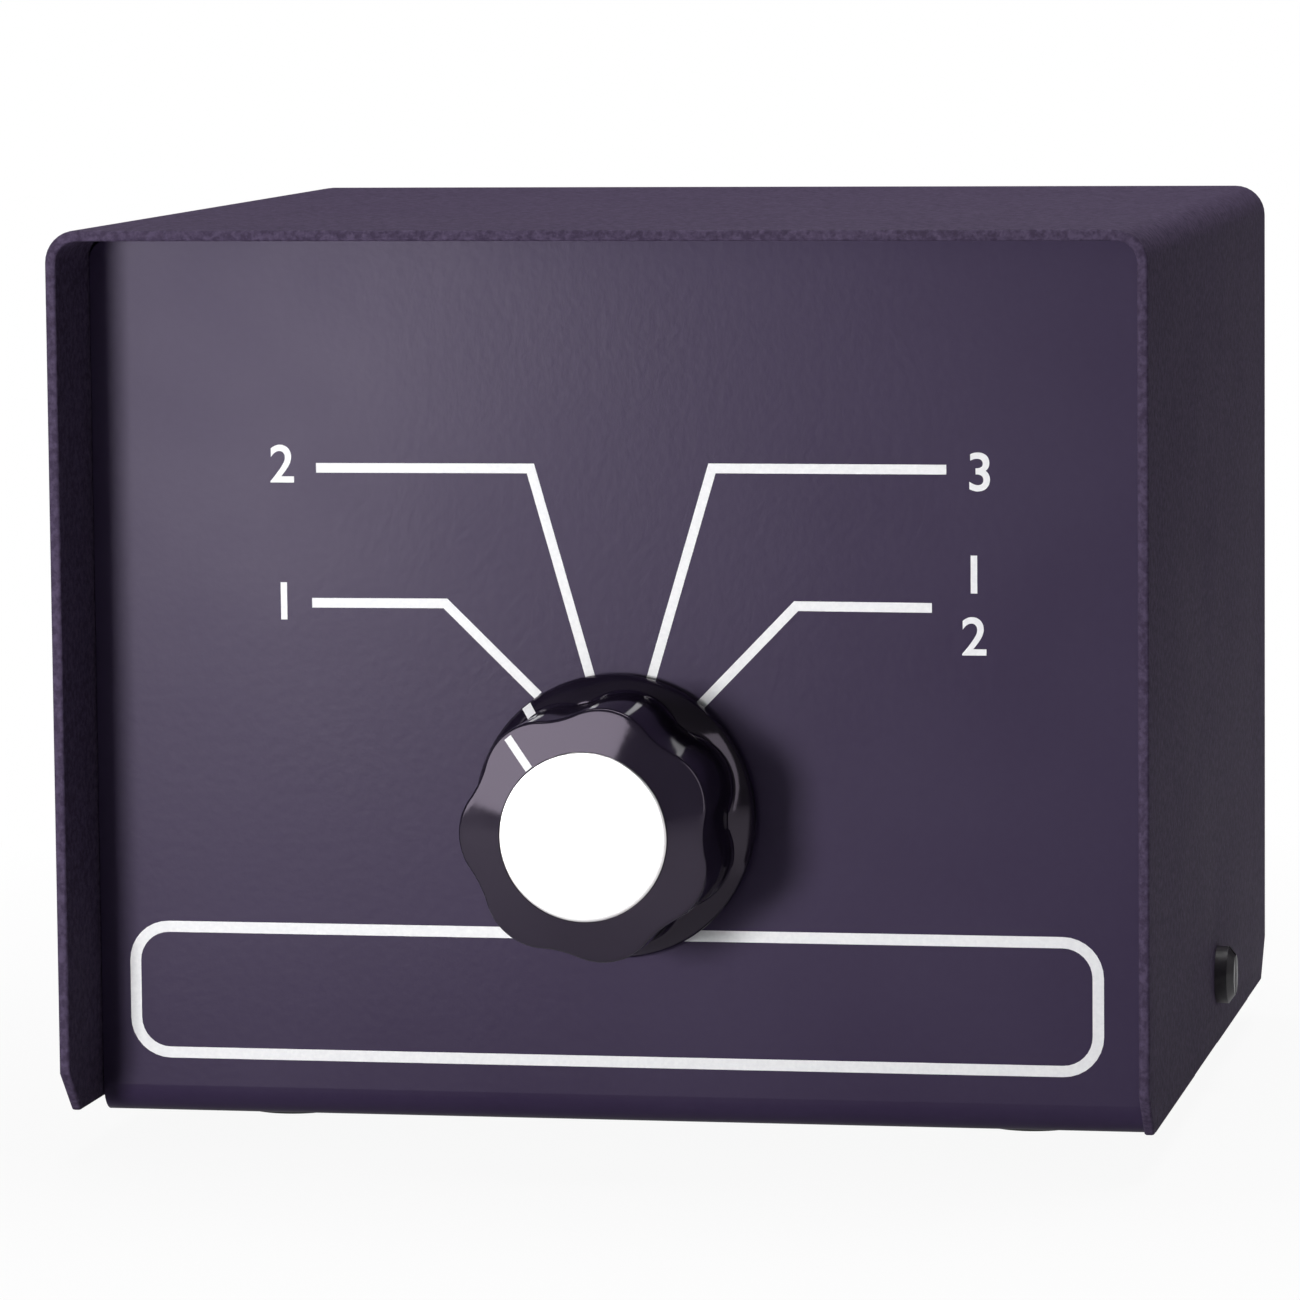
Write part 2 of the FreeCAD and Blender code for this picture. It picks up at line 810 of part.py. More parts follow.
def make_clip(angle, face, tip):
    """Stepped strip, riveted to the wafer, whose finger lies over the rotor contact."""
    seat = 0.0
    base = contact_thickness
    lift = rotor_proud + contact_thickness + finger_gap
    top = lift + contact_thickness
    rise = finger_rise_radius
    steps = [
        (terminal_end, seat),
        (terminal_end, base),
        (rise + base, base),
        (rise, top),
        (tip, top),
        (tip, lift),
        (rise - base, lift),
        (rise, seat),
    ]
    if face == "front":
        profile = [(radius, wafer_y - height) for radius, height in steps]
        back_y, front_y = wafer_y, wafer_y - base
    else:
        profile = [(radius, wafer_back_y + height) for radius, height in steps]
        back_y, front_y = wafer_back_y, wafer_back_y + base
    clip = radial(profile, finger_width, angle)
    spot = polar(rivet_seat, angle, wafer_y)
    low, high = min(back_y, front_y), max(back_y, front_y)
    return clip.cut(rod(rivet_radius + thread_gap, low, high, spot.x, spot.z))


def make_rivets():
    rivets = []
    for angle, face, _ in clip_places():
        spot = polar(rivet_seat, angle, wafer_y)
        low = wafer_y - (contact_thickness if face == "front" else 0)
        high = wafer_back_y + (contact_thickness if face == "rear" else 0)
        shank = rod(rivet_radius, low, high, spot.x, spot.z)
        heads = [
            rod(rivet_head_radius, low - rivet_head, low, spot.x, spot.z),
            rod(rivet_head_radius, high, high + rivet_head, spot.x, spot.z),
        ]
        rivets.append(shank.fuse(heads).removeSplitter())
    return rivets


def make_rotor():
    y = (wafer_y - rotor_proud, wafer_back_y + rotor_proud)
    return swing(rod(rotor_radius, *y).cut(blade_slot(*y)), rest_angle)


def make_rotor_contact(y_low, angle):
    """Ring with one tongue that reaches the throws."""
    y = (y_low, y_low + contact_thickness)
    tongue = radial([
        (contact_inner + 1, y[0]),
        (tongue_reach, y[0]),
        (tongue_reach, y[1]),
        (contact_inner + 1, y[1]),
    ], tongue_width, angle)
    ring = rod(contact_outer, *y).fuse(tongue).removeSplitter()
    return swing(ring.cut(rod(contact_inner, *y)), rest_angle)


def make_shell(x, z):
    """Socket shell: square flange, round barrel and a stub through the rear panel."""
    half = flange_size / 2
    flange_y = (rear_y, rear_y + flange_thickness)
    flange = block((x - half, x + half), flange_y, (z - half, z + half))
    flange = rounded(
        flange,
        flange_corner,
        lambda c: near(abs(c.x - x), half) and near(abs(c.z - z), half),
    )
    barrel = rod(thread_radius, flange_y[0], mouth_y, x, z)
    stub = rod(stub_radius, rear_y - stub_length, rear_y, x, z)
    shell = flange.fuse([barrel, stub]).removeSplitter()
    shell = shell.cut(rod(mouth_radius, rear_y - stub_length, mouth_y, x, z))
    for dx, dz in screw_corners():
        shell = shell.cut(rod(screw_radius + hole_gap, *flange_y, x + dx, z + dz))
    return shell


def make_insulator(x, z):
    y = (rear_y - stub_length - insulator_tail, mouth_y - mouth_depth)
    return tube(mouth_radius - seat_gap, contact_radius + seat_gap, *y, x, z)


def make_contact(x, z):
    """Tubular contact with a solder cup on its tail."""
    front = mouth_y - mouth_depth
    neck = rear_y - stub_length - insulator_tail
    contact = turned([
        (0, tail_y),
        (cup_radius, tail_y),
        (cup_radius, neck),
        (contact_radius, neck),
        (contact_radius, front),
        (0, front),
    ], x, z)
    contact = contact.cut(rod(contact_bore_radius, front - contact_bore_depth, front, x, z))
    return contact.cut(rod(cup_bore_radius, tail_y, tail_y + cup_depth, x, z))


def make_port_screws():
    screws = []
    head_y = rear_y + flange_thickness
    top_y = head_y + screw_head_height
    for x, z in ports.values():
        for dx, dz in screw_corners():
            screw = turned([
                (0, top_y - screw_length),
                (screw_radius, top_y - screw_length),
                (screw_radius, head_y),
                (screw_head_radius, head_y),
                (screw_head_radius, top_y - 0.5),
                (0.7 * screw_head_radius, top_y),
                (0, top_y),
            ], x + dx, z + dz)
            slot = block(
                (x + dx - screw_head_radius, x + dx + screw_head_radius),
                (top_y - slot_depth, top_y),
                (z + dz - slot_width / 2, z + dz + slot_width / 2),
            )
            screws.append(screw.cut(slot))
    return screws


def make_port_nuts():
    nuts = []
    y = (rear_inner_y - nut_thickness, rear_inner_y)
    for x, z in ports.values():
        for dx, dz in screw_corners():
            nuts.append(hexagon(nut_flats, screw_radius + thread_gap, *y, x + dx, z + dz))
    return nuts


def lead_to_port(start, port):
    """Lead from the rear of a terminal into the solder cup of a socket."""
    x, z = ports[port]
    end = vec(x, tail_y + cup_depth - seat_gap, z)
    leave = vec(start.x, start.y + wire_straight, start.z)
    arrive = vec(x, tail_y - wire_straight, z)
    return wire_run([start, leave, arrive, end], wire_bend)


def front_jumper(first, second, stand_y, around=0.0):
    """Bare wire between two terminals in front of the wafer, bowed outwards where it must clear a strut."""
    points = [first, vec(first.x, stand_y, first.z)]
    if around:
        points.append(vec(around, stand_y, first.z + (around - first.x) / 2))
        points.append(vec(around, stand_y, second.z - (around - second.x) / 2))
    points += [vec(second.x, stand_y, second.z), second]
    return wire_run(points, jumper_bend)


def make_wiring():
    front_throws = throw_angles(180)
    rear_throws = throw_angles(0)
    side = 90 - index_angle
    front_face = wafer_y - contact_thickness
    stand_y = front_face - jumper_stand_off
    front_common = 180 - side
    leads = {
        "lead_port_1": lead_to_port(polar(terminal_radius, front_throws[3], wafer_y), "port_1"),
        "lead_port_2": lead_to_port(
            polar(terminal_radius, rear_throws[1], wafer_back_y + contact_thickness), "port_2"),
        "lead_port_3": lead_to_port(
            polar(terminal_radius, rear_throws[2], wafer_back_y + contact_thickness), "port_3"),
        "lead_input": lead_to_port(polar(terminal_radius, front_common, wafer_y), "input"),
    }
    jumpers = {
        "jumper_front": front_jumper(
            polar(terminal_radius, front_throws[0], front_face),
            polar(terminal_radius, front_throws[3], front_face),
            stand_y,
        ),
        "jumper_rear": front_jumper(
            polar(terminal_radius, rear_throws[1], wafer_back_y),
            polar(terminal_radius, rear_throws[3], wafer_back_y),
            stand_y,
        ),
        "jumper_common": front_jumper(
            polar(terminal_radius, front_common, front_face),
            polar(terminal_radius, side, wafer_back_y),
            stand_y,
            strut_offset + spacer_radius + jumper_stand_off / 2,
        ),
    }
    return {**leads, **jumpers}


def main():
    os.makedirs("parts", exist_ok=True)
    save("cover", make_cover())
    save("chassis", make_chassis())
    save("cover_screws", *make_side_screws())
    save("rubber_feet", *make_feet())
    save("knob_body", make_knob_body())
    save("knob_cap", make_knob_cap())
    save("knob_insert", make_knob_insert())
    save("knob_set_screw", make_set_screw())
    save("switch_shaft", make_shaft())
    save("shaft_clip", make_shaft_clip())
    save("index_wheel", make_index_wheel())
    save("wafer_rotor", make_rotor())
    save("rotor_contact_front", make_rotor_contact(wafer_y - rotor_proud - contact_thickness, 180))
    save("rotor_contact_rear", make_rotor_contact(wafer_back_y + rotor_proud, 0))
    save("switch_bushing", make_bushing())
    nut_bore = bushing_radius + thread_gap
    save("panel_nut", hexagon(panel_nut_flats, nut_bore, nut_y, washer_y))
    save("panel_washer", tube(panel_washer_radius, nut_bore, washer_y, panel_y))
    save("lock_washer", make_lock_washer())
    save("switch_plate", make_switch_plate())
    save("detent_spring", make_detent_spring())
    save("strut_screws", *make_strut_screws())
    save("strut_spacers", *make_strut_spacers())
    save("wafer_stator", make_wafer_stator())
    clips = [make_clip(*place) for place in clip_places()]
    save("throw_clips_front", *clips[:positions])
    save("throw_clips_rear", *clips[positions:2 * positions])
    save("common_clip_front", clips[2 * positions])
    save("common_clip_rear", clips[2 * positions + 1])
    save("clip_rivets", *make_rivets())
    for name, (x, z) in ports.items():
        save(f"{name}_shell", make_shell(x, z))
        save(f"{name}_insulator", make_insulator(x, z))
        save(f"{name}_contact", make_contact(x, z))
    save("socket_screws", *make_port_screws())
    save("socket_nuts", *make_port_nuts())
    for name, wire in make_wiring().items():
        save(name, wire)


main()
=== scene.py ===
import bmesh
import bpy
import json
import math
from mathutils import Matrix, Vector


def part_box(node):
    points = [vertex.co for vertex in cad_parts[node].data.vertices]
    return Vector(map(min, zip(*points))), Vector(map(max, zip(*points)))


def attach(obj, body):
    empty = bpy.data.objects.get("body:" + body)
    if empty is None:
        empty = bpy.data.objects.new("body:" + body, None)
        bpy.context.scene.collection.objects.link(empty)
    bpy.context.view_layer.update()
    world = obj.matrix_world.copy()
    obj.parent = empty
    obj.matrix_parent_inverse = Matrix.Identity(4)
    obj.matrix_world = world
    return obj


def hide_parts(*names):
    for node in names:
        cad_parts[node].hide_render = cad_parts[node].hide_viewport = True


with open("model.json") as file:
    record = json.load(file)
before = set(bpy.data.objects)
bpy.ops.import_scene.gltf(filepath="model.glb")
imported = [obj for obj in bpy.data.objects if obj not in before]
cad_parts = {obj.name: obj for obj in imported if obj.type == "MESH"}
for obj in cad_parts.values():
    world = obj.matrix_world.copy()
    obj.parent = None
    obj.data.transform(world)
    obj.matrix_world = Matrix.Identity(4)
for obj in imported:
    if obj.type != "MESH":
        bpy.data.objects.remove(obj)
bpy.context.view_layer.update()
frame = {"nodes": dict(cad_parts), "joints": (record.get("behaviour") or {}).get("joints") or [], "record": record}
nodes = frame["nodes"]
print("frame loaded:", len(nodes), "CAD nodes")

# Pieces are modelled in millimetres: X from the middle, Y from the cover's front rim, Z from the chassis.
mm = 0.001
mergeGap = 0.0001  # in a piece's own millimetres
boxOrigin = Vector((0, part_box("cover")[0].y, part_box("chassis")[0].z))
turnJoint = frame["joints"][0]
shaftZ = (turnJoint["pos_m"][2] - boxOrigin.z) / mm
panelY = (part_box("chassis")[0].y - boxOrigin.y) / mm
# at rest the pointer stands half the whole turn to the left of upright
restAngle = math.radians(-turnJoint["range_deg"][1] / 2)


def sizeOf(node):
    low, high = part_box(node)
    return (low - boxOrigin) / mm, (high - boxOrigin) / mm


# Shader nodes written as Python expressions.
class Wire:
    def __init__(self, graph, socket):
        self.graph = graph
        self.socket = socket

    def maths(self, operation, first, second):
        return self.graph.node("ShaderNodeMath", {"operation": operation}, {0: first, 1: second})

    def __add__(self, other):
        return self.maths("ADD", self, other)

    def __sub__(self, other):
        return self.maths("SUBTRACT", self, other)

    def __rsub__(self, other):
        return self.maths("SUBTRACT", other, self)

    def __mul__(self, other):
        return self.maths("MULTIPLY", self, other)

    __radd__ = __add__
    __rmul__ = __mul__


class Graph:
    def __init__(self, tree):
        self.tree = tree

    def feed(self, socket, value):
        if isinstance(value, Wire):
            self.tree.links.new(value.socket, socket)
        elif socket.type == "RGBA":
            socket.default_value = (*value, 1)
        else:
            socket.default_value = value

    def node(self, kind, settings, values, output=0):
        made = self.tree.nodes.new(kind)
        for name, value in settings.items():
            setattr(made, name, value)
        for name, value in values.items():
            self.feed(made.inputs[name], value)
        return Wire(self, made.outputs[output])

    def ramp(self, value, low, high, start, end):
        values = {"Value": value, "From Min": low, "From Max": high, "To Min": start, "To Max": end}
        return self.node("ShaderNodeMapRange", {}, values)

    def ray(self, kind):
        # 1 on rays of this kind, 0 on the rest
        return self.node("ShaderNodeLightPath", {}, {}, kind)


class Paint(Graph):
    def __init__(self, name, colour, roughness, **sockets):
        self.material = bpy.data.materials.new(name)
        self.material.use_nodes = True
        super().__init__(self.material.node_tree)
        self.shader = self.tree.nodes["Principled BSDF"]
        self.set("Base Color", colour)
        self.set("Roughness", roughness)
        for socket, value in sockets.items():
            self.set(socket.replace("_", " "), value)
        self.place = self.node("ShaderNodeTexCoord", {}, {}, "Object")

    def set(self, socket, value):
        self.feed(self.shader.inputs[socket], value)

    def noise(self, perMillimetre, detail=2.0, where=None):
        values = {"Vector": where or self.place, "Scale": perMillimetre / mm, "Detail": detail}
        return self.node("ShaderNodeTexNoise", {}, values)

    def colourBy(self, value, span, first, second):
        values = {0: self.ramp(value, *span, 0, 1), 6: first, 7: second}
        self.set("Base Color", self.node("ShaderNodeMix", {"data_type": "RGBA"}, values, 2))

    def glossBy(self, value, span, start, end):
        self.set("Roughness", self.ramp(value, *span, start, end))

    def bump(self, height, depth):
        values = {"Height": height, "Distance": depth * mm, "Strength": 1.0}
        self.set("Normal", self.node("ShaderNodeBump", {}, values))


# Patterns are given per millimetre, bump depths in millimetres, and a span is the part of the noise used.
def wrinklePaint():
    look = {
        "colour": (0.038, 0.0265, 0.054), "pale": (0.078, 0.058, 0.106), "colourSpan": (0.4, 0.62),
        "smooth": 0.72, "rough": 0.8, "glossSpan": (0.3, 0.7), "specular": 0.14, "tint": (0.9, 0.78, 1),
        "grain": 1.5, "fineRatio": 2.6, "fineShare": 0.35, "patch": 0.05, "depth": 0.14,
    }
    paint = Paint("wrinklePaint", look["colour"], look["rough"],
                  Specular_IOR_Level=look["specular"], Specular_Tint=look["tint"])
    grain = paint.noise(look["grain"], detail=3.0)
    fine = paint.noise(look["grain"] * look["fineRatio"])
    patches = paint.noise(look["patch"], detail=3.0)
    height = grain * (1 - look["fineShare"]) + fine * look["fineShare"]
    paint.colourBy(height, look["colourSpan"], look["colour"], look["pale"])
    paint.glossBy(patches, look["glossSpan"], look["smooth"], look["rough"])
    paint.bump(height, look["depth"])
    return paint.material


def panelPaint():
    look = {
        "colour": (0.034, 0.0225, 0.056), "pale": (0.04, 0.028, 0.064), "colourSpan": (0.35, 0.65),
        "smooth": 0.31, "rough": 0.37, "glossSpan": (0.3, 0.7), "specular": 0.09, "tint": (0.94, 0.88, 1),
        "grain": 1.1, "grainShare": 0.25, "patch": 0.035, "depth": 0.014,
    }
    paint = Paint("panelPaint", look["colour"], look["rough"],
                  Specular_IOR_Level=look["specular"], Specular_Tint=look["tint"])
    grain = paint.noise(look["grain"])
    patches = paint.noise(look["patch"], detail=4.0)
    mottle = patches * (1 - look["grainShare"]) + grain * look["grainShare"]
    paint.colourBy(mottle, look["colourSpan"], look["colour"], look["pale"])
    paint.glossBy(patches, look["glossSpan"], look["smooth"], look["rough"])
    paint.bump(grain, look["depth"])
    return paint.material


def printInk():
    look = {
        "colour": (0.83, 0.83, 0.85), "pale": (0.9, 0.9, 0.91), "colourSpan": (0.3, 0.7),
        "roughness": 0.5, "grain": 3.0, "depth": 0.006,
    }
    paint = Paint("printInk", look["colour"], look["roughness"])
    grain = paint.noise(look["grain"], detail=3.0)
    paint.colourBy(grain, look["colourSpan"], look["colour"], look["pale"])
    paint.bump(grain, look["depth"])
    return paint.material


def knobPlastic():
    look = {
        "colour": (0.0105, 0.0075, 0.0165), "worn": (0.014, 0.0105, 0.021), "colourSpan": (0.4, 0.7),
        "polished": 0.07, "scuffed": 0.15, "glossSpan": (0.35, 0.7),
        "refraction": 1.56, "tint": (0.93, 0.8, 1),
        "smear": 0.12, "scuff": 1.8, "scuffShare": 0.3, "depth": 0.002,
    }
    paint = Paint("knobPlastic", look["colour"], look["scuffed"],
                  IOR=look["refraction"], Specular_Tint=look["tint"])
    smear = paint.noise(look["smear"], detail=4.0)
    scuff = paint.noise(look["scuff"], detail=4.0)
    wear = smear * (1 - look["scuffShare"]) + scuff * look["scuffShare"]
    paint.glossBy(wear, look["glossSpan"], look["polished"], look["scuffed"])
    paint.colourBy(smear, look["colourSpan"], look["colour"], look["worn"])
    paint.bump(scuff, look["depth"])
    return paint.material


def spunAluminium():
    # rings about the shaft's axis, from noise read along the radius alone
    look = {
        "colour": (0.93, 0.92, 0.92), "dull": (0.88, 0.86, 0.87), "colourSpan": (0.3, 0.7),
        "polished": 0.22, "satin": 0.28, "glossSpan": (0.3, 0.7),
        "groove": 34.0, "band": 4.0, "depth": 0.007,
    }
    paint = Paint("spunAluminium", look["colour"], look["satin"], Metallic=1.0)
    centre = (0, 0, -(boxOrigin.z + shaftZ * mm))
    local = paint.node("ShaderNodeMapping", {}, {"Vector": paint.place, "Location": centre})
    flat = paint.node("ShaderNodeVectorMath", {"operation": "MULTIPLY"}, {0: local, 1: (1, 0, 1)})
    radius = paint.node("ShaderNodeVectorMath", {"operation": "LENGTH"}, {0: flat}, "Value")
    ring = paint.node("ShaderNodeCombineXYZ", {}, {"X": radius})
    groove = paint.noise(look["groove"], detail=1.0, where=ring)
    band = paint.noise(look["band"], detail=2.0, where=ring)
    paint.colourBy(band, look["colourSpan"], look["colour"], look["dull"])
    paint.glossBy(groove, look["glossSpan"], look["polished"], look["satin"])
    paint.bump(groove, look["depth"])
    return paint.material


def plainMetal(name, colour, dull, roughness):
    look = {
        "cloud": 0.27, "fine": 3.6, "fineShare": 0.5, "colourSpan": (0.35, 0.7),
        "smoother": 0.8, "rougher": 1.35, "glossSpan": (0.35, 0.65), "depth": 0.006,
    }
    paint = Paint(name, colour, roughness, Metallic=1.0)
    cloud = paint.noise(look["cloud"], detail=4.0)
    fine = paint.noise(look["fine"], detail=3.0)
    paint.colourBy(cloud, look["colourSpan"], colour, dull)
    wear = cloud * (1 - look["fineShare"]) + fine * look["fineShare"]
    paint.glossBy(wear, look["glossSpan"], roughness * look["smoother"], roughness * look["rougher"])
    paint.bump(fine, look["depth"])
    return paint.material


def plainResin(name, colour, other, roughness):
    look = {
        "cloud": 1.2, "colourSpan": (0.3, 0.7),
        "smoother": 0.85, "rougher": 1.2, "glossSpan": (0.3, 0.7), "depth": 0.01,
    }
    paint = Paint(name, colour, roughness)
    cloud = paint.noise(look["cloud"], detail=4.0)
    paint.colourBy(cloud, look["colourSpan"], colour, other)
    paint.glossBy(cloud, look["glossSpan"], roughness * look["smoother"], roughness * look["rougher"])
    paint.bump(cloud, look["depth"])
    return paint.material


finish = {
    "cover_paint": wrinklePaint(),
    "panel_paint": panelPaint(),
    "black_steel": plainResin("blackSteel", (0.018, 0.015, 0.021), (0.035, 0.03, 0.038), 0.34),
    "rubber": plainResin("rubber", (0.02, 0.02, 0.021), (0.03, 0.03, 0.031), 0.75),
    "phenolic_black": knobPlastic(),
    "spun_aluminium": spunAluminium(),
    "brass": plainMetal("brass", (0.72, 0.52, 0.24), (0.56, 0.4, 0.2), 0.28),
    "plated_steel": plainMetal("platedSteel", (0.62, 0.61, 0.58), (0.5, 0.49, 0.46), 0.3),
    "wafer_board": plainResin("waferBoard", (0.28, 0.15, 0.06), (0.36, 0.2, 0.09), 0.5),
    "silver_plate": plainMetal("silverPlate", (0.82, 0.8, 0.75), (0.62, 0.59, 0.52), 0.22),
    "nickel_shell": plainMetal("nickelShell", (0.7, 0.68, 0.63), (0.6, 0.58, 0.53), 0.2),
    "insulator_resin": plainResin("insulatorResin", (0.16, 0.07, 0.03), (0.22, 0.1, 0.045), 0.32),
    "contact_silver": plainMetal("contactSilver", (0.8, 0.78, 0.72), (0.66, 0.63, 0.56), 0.2),
    "tinned_copper": plainMetal("tinnedCopper", (0.66, 0.64, 0.6), (0.55, 0.52, 0.48), 0.3),
}
ink = printInk()
for entry in frame["record"]["subparts"]:
    mesh = nodes[entry["node"]].data
    mesh.materials.clear()
    mesh.materials.append(finish[entry["material_slot"]])
print("materials made:", len(finish) + 1)


def finishPiece(name, bm, slot, body="housing", place=(0, 0, 0), turn=0.0, material=None, smooth=32):
    # from local millimetres to metres in the frame
    move = Matrix.Translation(boxOrigin + Vector(place) * mm)
    move = move @ Matrix.Rotation(turn, 4, "Y") @ Matrix.Scale(mm, 4)
    bmesh.ops.transform(bm, matrix=move, verts=bm.verts)
    mesh = bpy.data.meshes.new(name)
    bm.to_mesh(mesh)
    bm.free()
    mesh.shade_smooth()
    mesh.set_sharp_from_angle(angle=math.radians(smooth))
    mesh.materials.append(material or finish[slot])
    piece = bpy.data.objects.new(name, mesh)
    bpy.context.scene.collection.objects.link(piece)
    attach(piece, body)
    return piece


def knobPiece(name, bm, slot, material=None, smooth=32):
    return finishPiece(name, bm, slot, "selector", (0, 0, shaftZ), restAngle, material, smooth)


def mergeShape(bm, gap=mergeGap):
    bmesh.ops.remove_doubles(bm, verts=bm.verts, dist=gap)
    bmesh.ops.recalc_face_normals(bm, faces=bm.faces)


def chain(bm, points):
    verts = [bm.verts.new(point) for point in points]
    return [bm.edges.new(pair) for pair in zip(verts, verts[1:])]


def pull(bm, made, step):
    # moves what an extrusion just made
    verts = [item for item in made["geom"] if isinstance(item, bmesh.types.BMVert)]
    bmesh.ops.translate(bm, vec=step, verts=verts)


def roundEdges(bm, edges, offset, segments):
    bmesh.ops.bevel(bm, geom=edges, offset=offset, segments=segments, profile=0.5,
                    affect="EDGES", material=-1)


# Cover: a bent sheet with cut corners and paint-rounded edges.
cover = {
    "sheet": 1.0, "bend": 3.0, "bendSteps": 8, "cornerCut": 4.0,
    "edgeRound": 0.28, "edgeSteps": 3,
    "sharpTurn": 1.2,  # radians, over which an edge is a rim
}


def makeCover():
    low, high = sizeOf("cover")
    bm = bmesh.new()
    corners = [(low.x, low.z), (low.x, high.z), (high.x, high.z), (high.x, low.z)]
    edges = chain(bm, [(x, low.y, z) for x, z in corners])
    pull(bm, bmesh.ops.extrude_edge_only(bm, edges=edges), (0, high.y - low.y, 0))
    folds = []
    for edge in bm.edges:
        first, second = [vert.co for vert in edge.verts]
        if abs(first.y - second.y) > cover["sheet"] and first.z > high.z - cover["sheet"]:
            folds.append(edge)
    roundEdges(bm, folds, cover["bend"], cover["bendSteps"])
    for y, facing in ((low.y, -1), (high.y, 1)):
        point = (0, y - facing * cover["cornerCut"], low.z)
        bmesh.ops.bisect_plane(bm, geom=bm.verts[:] + bm.edges[:] + bm.faces[:], plane_co=point,
                               plane_no=(0, facing, -1), clear_outer=True)
    bmesh.ops.recalc_face_normals(bm, faces=bm.faces)
    top = max(bm.faces, key=lambda face: face.calc_center_median().z)
    inwards = 1 if top.normal.z > 0 else -1
    bmesh.ops.solidify(bm, geom=bm.faces[:], thickness=inwards * cover["sheet"])
    bmesh.ops.recalc_face_normals(bm, faces=bm.faces)
    rims = [e for e in bm.edges if len(e.link_faces) == 2 and e.calc_face_angle() > cover["sharpTurn"]]
    roundEdges(bm, rims, cover["edgeRound"], cover["edgeSteps"])
    piece = finishPiece("folded_cover", bm, "cover_paint", smooth=40)
    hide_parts("cover")


makeCover()
print("cover made")

# Knob: a fluted body on a bevelled skirt, built pointing up and turned to its rest place.
knob = {
    "lobes": 7, "crest": 11.8, "valley": 10.9, "crestRound": 5.4,
    "skirt": 13.2, "skirtRim": 0.9, "skirtHeight": 2.4, "shoulder": 11.2,
    "faceSlope": 0.32, "cap": 7.75, "seatDepth": 0.45, "seatGap": 0.05,
    "edgeRound": 0.45, "edgeSteps": 5, "softEdge": 0.2,
    "recess": 8.4, "recessDepth": 4.2, "insert": 4.85, "insertLength": 9.2,
    "screwHole": 2.25, "screwHoleStart": 4.65, "screwHoleSteps": 48, "cutMerge": 0.005, "segments": 336,
}
knobLow, knobHigh = sizeOf("knob_body")
knobFace, knobBack = knobLow.y, knobHigh.y


def lobeRadius(angle):
    # crest and hollow arcs that meet tangentially
    half = math.pi / knob["lobes"]
    crestCentre = knob["crest"] - knob["crestRound"]
    reach = knob["valley"] - knob["crestRound"]
    hollowCentre = (crestCentre**2 - reach**2) / (2 * (crestCentre * math.cos(half) - reach))
    hollowRound = hollowCentre - knob["valley"]
    share = knob["crestRound"] / (knob["crestRound"] + hollowRound)
    meetX = crestCentre + (hollowCentre * math.cos(half) - crestCentre) * share
    meetAngle = math.atan2(hollowCentre * math.sin(half) * share, meetX)
    away = abs((angle + half) % (2 * half) - half)
    if away < meetAngle:
        side = crestCentre * math.sin(away)
        return crestCentre * math.cos(away) + math.sqrt(knob["crestRound"]**2 - side**2)
    side = hollowCentre * math.sin(half - away)
    return hollowCentre * math.cos(half - away) - math.sqrt(hollowRound**2 - side**2)


def faceY(radius):
    return knobFace + knob["faceSlope"] * max(0.0, radius - knob["cap"])


def skirtY(radius):
    slope = (knob["skirtHeight"] - knob["skirtRim"]) / (knob["skirt"] - knob["shoulder"])
    return knobBack - knob["skirtHeight"] + max(0.0, radius - knob["shoulder"]) * slope


def ringLoft(bm, rings):
    # each ring gives (radius, y) at an angle; every ring is extruded from the one before
    flat = Matrix.Rotation(math.pi / 2, 4, "X")
    made = bmesh.ops.create_circle(bm, cap_ends=False, radius=1, segments=knob["segments"], matrix=flat)
    verts = made["verts"]
    edges = bm.edges[:]
    for count, ring in enumerate(rings):
        if count:
            made = bmesh.ops.extrude_edge_only(bm, edges=edges)["geom"]
            verts = [item for item in made if isinstance(item, bmesh.types.BMVert)]
            edges = [item for item in made if isinstance(item, bmesh.types.BMEdge)]
        for vert in verts:
            angle = math.atan2(vert.co.x, vert.co.z)
            radius, y = ring(angle)
            vert.co = (radius * math.sin(angle), y, radius * math.cos(angle))
        if count in (0, len(rings) - 1):
            bmesh.ops.edgeloop_fill(bm, edges=edges)


def cutScrewHole(bm):
    # a radial hole opposite the pointer, from the insert out through the fluted side
    screwLow, screwHigh = sizeOf("knob_set_screw")
    radius, depth = knob["screwHole"], knob["crest"]
    spot = (0, (screwLow.y + screwHigh.y) / 2, -knob["screwHoleStart"] - depth / 2)
    cutter = bmesh.new()
    bmesh.ops.create_cone(cutter, cap_ends=True, segments=knob["screwHoleSteps"], radius1=radius,
                          radius2=radius, depth=depth, matrix=Matrix.Translation(spot))
    pair = []
    for name, source in (("knob_blank", bm), ("screw_hole", cutter)):
        mesh = bpy.data.meshes.new(name)
        source.to_mesh(mesh)
        pair.append(bpy.data.objects.new(name, mesh))
        bpy.context.scene.collection.objects.link(pair[-1])
    cutter.free()
    blank, hole = pair
    cut = blank.modifiers.new("hole", "BOOLEAN")
    cut.operation = "DIFFERENCE"
    cut.solver = "EXACT"
    cut.object = hole
    ready = blank.evaluated_get(bpy.context.evaluated_depsgraph_get())
    made = bpy.data.meshes.new_from_object(ready)
    bm.clear()
    bm.from_mesh(made)
    for extra in pair:
        bpy.data.objects.remove(extra)
    mergeShape(bm, knob["cutMerge"])


